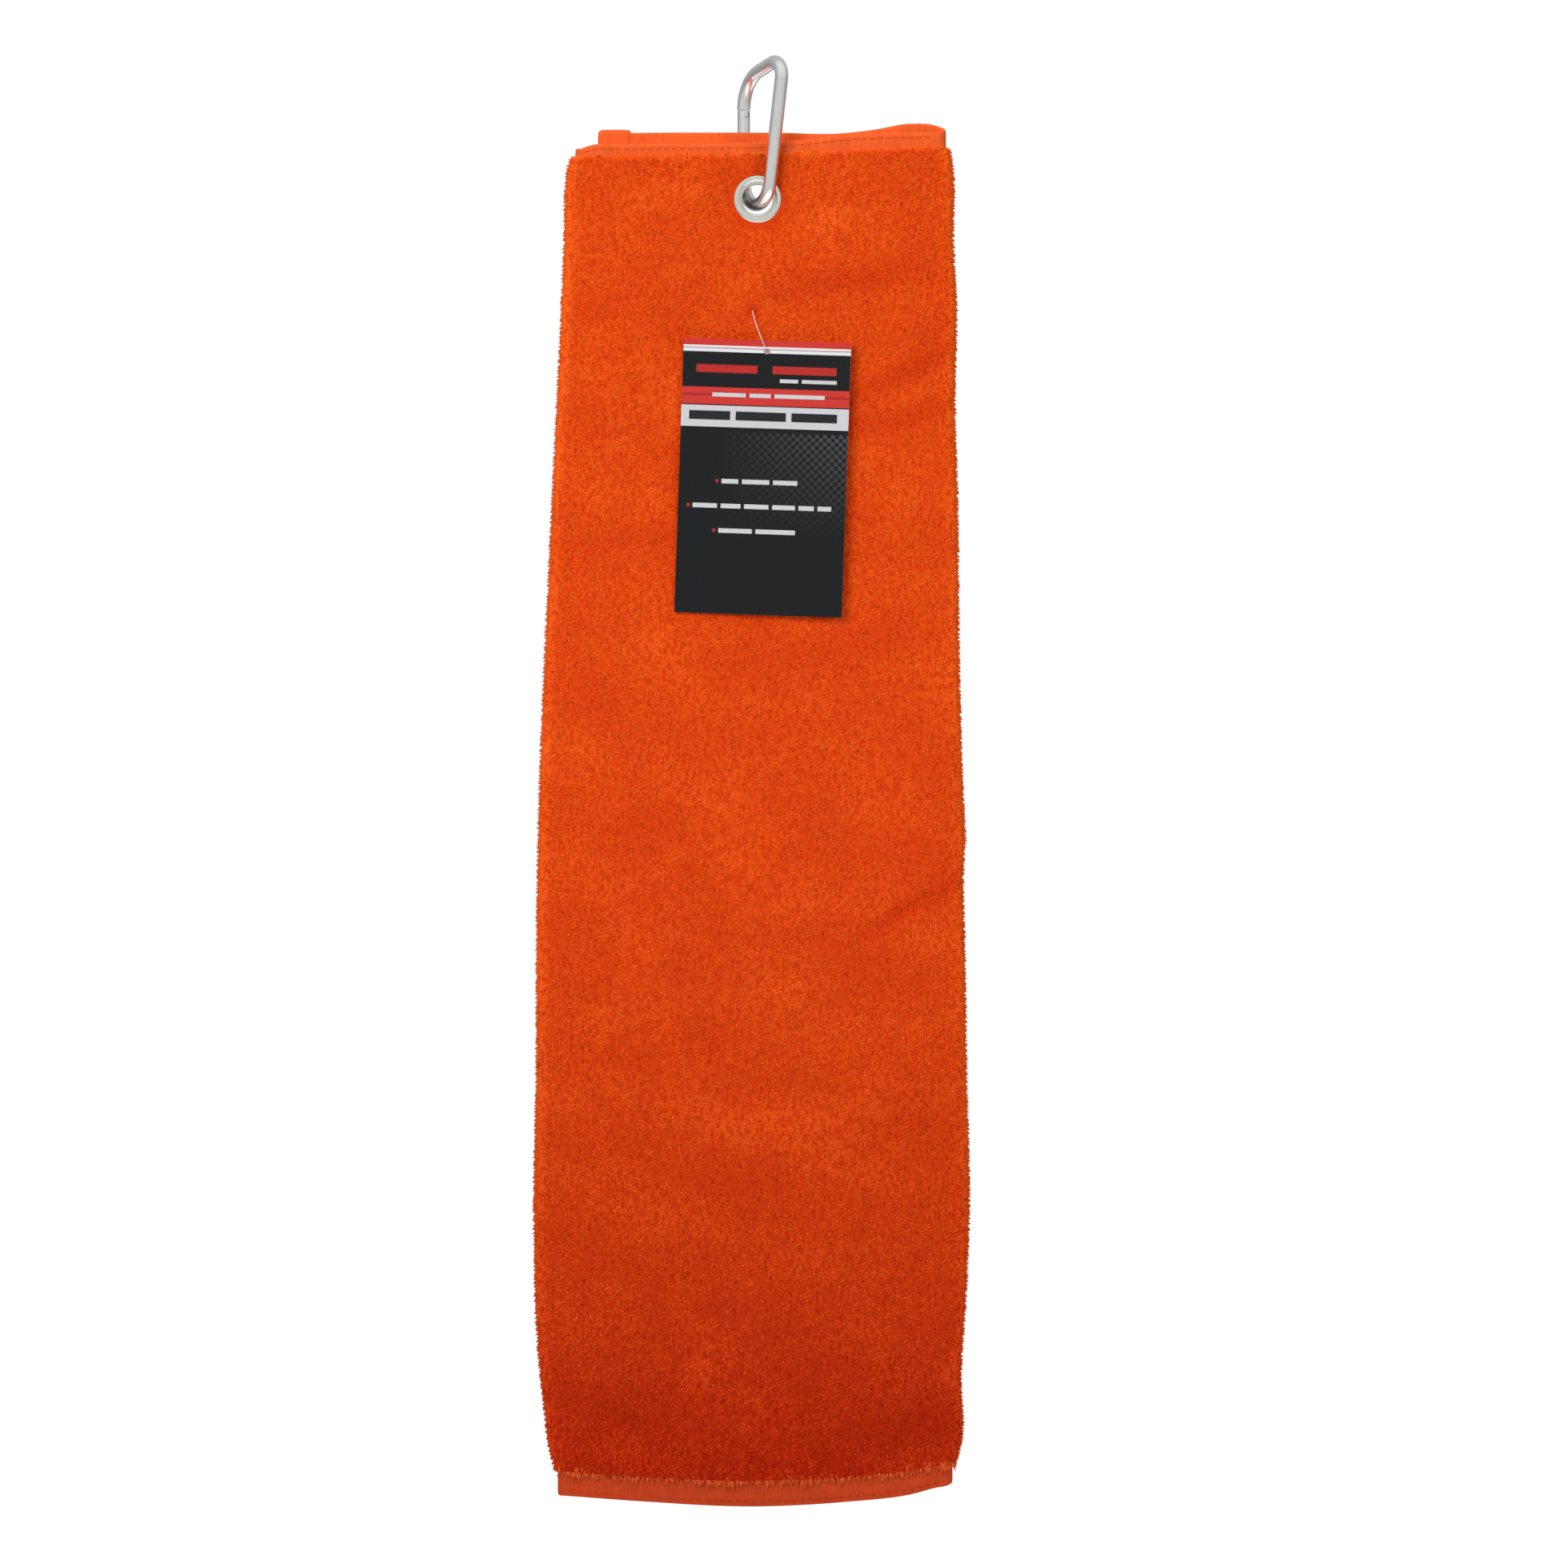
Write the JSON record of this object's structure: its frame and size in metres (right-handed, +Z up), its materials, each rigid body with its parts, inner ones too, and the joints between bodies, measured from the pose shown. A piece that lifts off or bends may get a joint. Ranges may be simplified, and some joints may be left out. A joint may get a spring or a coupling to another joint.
{
  "type": "hanging towel",
  "caption": "Tri-folded pile towel with an eyelet through its folded top, hung from a small carabiner, with a plain card hang tag.",
  "frame": {"origin": "inside of the carabiner's crown, where the hook or strap that carries the towel bears", "axes": "+Z up along the towel's length, +Y to the towel's back (the front and its tag face -Y), +X to the right as seen from the front"},
  "size_m": [0.1431, 0.0244, 0.476],
  "materials": {
    "velour": "sheared cotton pile, matt with a soft nap",
    "woven_hem": "flat woven band with fine ribs",
    "thread": "sewing thread",
    "nickel": "polished nickel plate",
    "aluminium": "polished",
    "steel": "bright",
    "nylon": "translucent moulded nylon",
    "printed_card": "semi-gloss printed card"
  },
  "bodies": {
    "carabiner": {"carabiner_frame": "aluminium", "gate_pin": "steel"},
    "gate": {"gate_tube": "aluminium", "gate_plunger": "steel", "gate_spring": "steel"},
    "towel": {"front_panel": "velour", "left_fold": "velour", "inner_panel": "velour", "inner_side_hem": "woven_hem", "right_fold": "velour", "rear_panel": "velour", "front_top_hem": "woven_hem", "front_bottom_hem": "woven_hem", "inner_top_hem": "woven_hem", "inner_bottom_hem": "woven_hem", "rear_top_hem": "woven_hem", "hem_fold_ends": "woven_hem", "front_hem_stitches": "thread", "grommet_eyelet": "nickel", "grommet_washer": "nickel", "fastener_bar": "nylon"},
    "flap": {"rear_flap": "velour", "flap_side_hem": "woven_hem", "flap_top_hem": "woven_hem", "flap_bottom_hem": "woven_hem", "flap_side_stitches": "thread"},
    "tag_string": {"tag_filament": "nylon"},
    "hang_tag": {"hang_tag_card": "printed_card"}
  },
  "joints": [
    {"name": "gate_hinge", "type": "hinge", "parent": "carabiner", "child": "gate", "pos_m": [-0.01005, 0.01608, -0.0331], "axis": [0.848, 0.5299, 0], "range_deg": [0, 10], "stiffness_Nm_per_rad": 0.02, "springref_deg": -17.19},
    {"name": "towel_swing", "type": "hinge", "parent": "carabiner", "child": "towel", "pos_m": [-0.00549, 0.00878, -0.0423], "axis": [0, -1, 0], "range_deg": [-30, 30]},
    {"name": "flap_peel", "type": "hinge", "parent": "towel", "child": "flap", "pos_m": [-0.01469, 0.01308, -0.0423], "axis": [0.1565, 0, -0.9877], "range_deg": [0, 120]},
    {"name": "tag_lift", "type": "hinge", "parent": "towel", "child": "tag_string", "pos_m": [-0.00699, 0.00449, -0.079], "axis": [-1, 0, 0], "range_deg": [0, 80]},
    {"name": "tag_swing", "type": "hinge", "parent": "tag_string", "child": "hang_tag", "pos_m": [-0.0023, 0.00181, -0.09262], "axis": [0, -1, 0], "range_deg": [-20, 20]}
  ]
}
